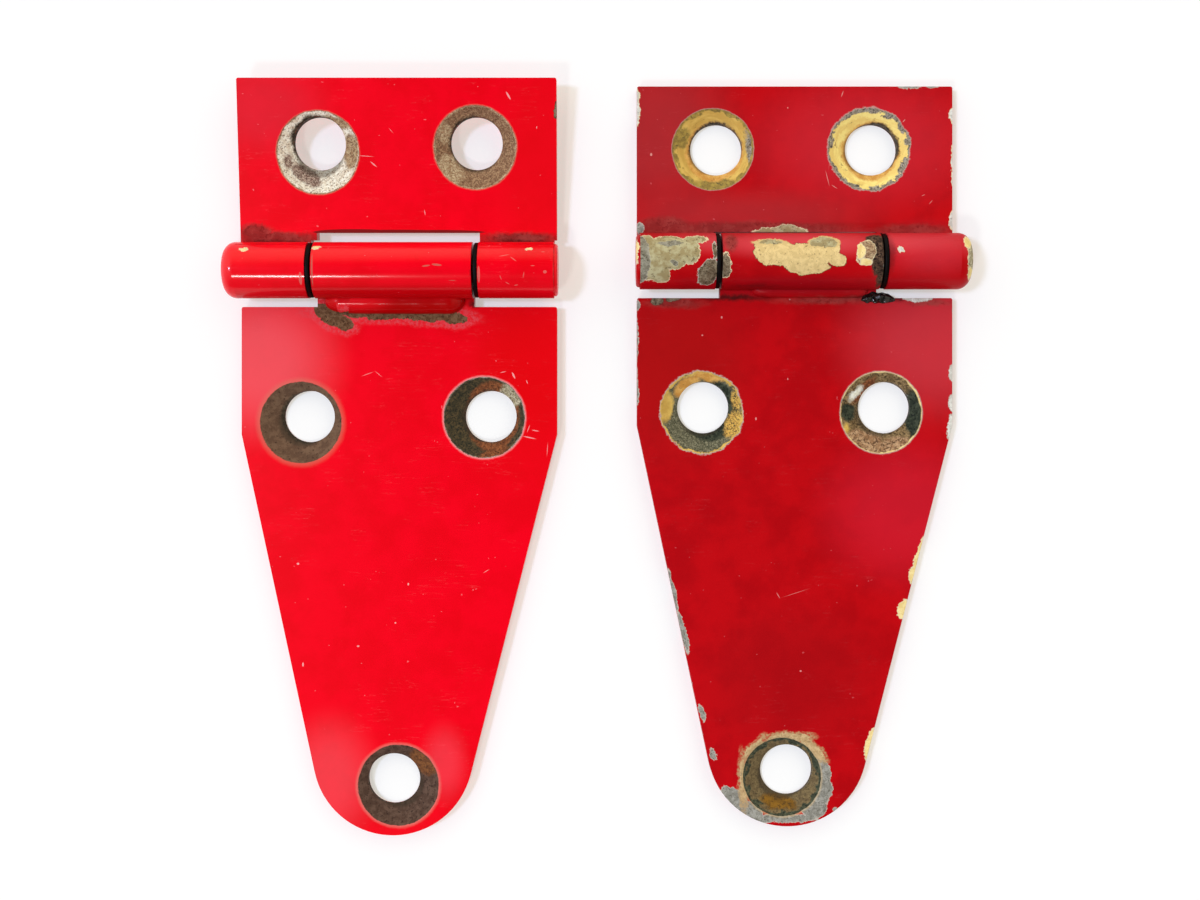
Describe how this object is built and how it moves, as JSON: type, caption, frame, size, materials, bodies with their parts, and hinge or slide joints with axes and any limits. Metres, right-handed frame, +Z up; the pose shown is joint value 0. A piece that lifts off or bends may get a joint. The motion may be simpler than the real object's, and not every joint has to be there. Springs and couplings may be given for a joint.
{
  "type": "pair of hood hinges",
  "caption": "Left and right strap hinges for a vehicle hood: slotted cowl leaf, tapered strap with a round nose, rolled barrel on a headed pin, countersunk screw holes.",
  "frame": {"origin": "on the table, under the middle of the pair's outline", "axes": "+Z up from the table; +Y from the straps towards the cowl leaves; the barrels lie along X, the left hinge at -X"},
  "size_m": [0.1484, 0.1518, 0.0112],
  "materials": {
    "left_red_paint": "glossy red paint over steel, bare and rusty in the countersinks",
    "right_red_paint": "darker red paint, chipped to cream primer and grey steel",
    "black_washer": "black, slightly shiny"
  },
  "bodies": {
    "cowl_side": {"left_cowl_leaf": "left_red_paint", "left_hinge_pin": "left_red_paint", "left_inner_washer": "black_washer", "left_outer_washer": "black_washer", "right_cowl_leaf": "right_red_paint", "right_hinge_pin": "right_red_paint", "right_inner_washer": "black_washer", "right_outer_washer": "black_washer"},
    "left_strap": {"left_hood_strap": "left_red_paint"},
    "right_strap": {"right_hood_strap": "right_red_paint"}
  },
  "joints": [
    {"name": "left_strap_turn", "type": "hinge", "parent": "cowl_side", "child": "left_strap", "pos_m": [-0.0398, 0.0376, 0.0056], "axis": [-1, 0, 0], "range_deg": [-97, 173]},
    {"name": "right_strap_turn", "type": "hinge", "parent": "cowl_side", "child": "right_strap", "pos_m": [0.0398, 0.0394, 0.0056], "axis": [-1, 0, 0], "range_deg": [-90, 180]}
  ]
}
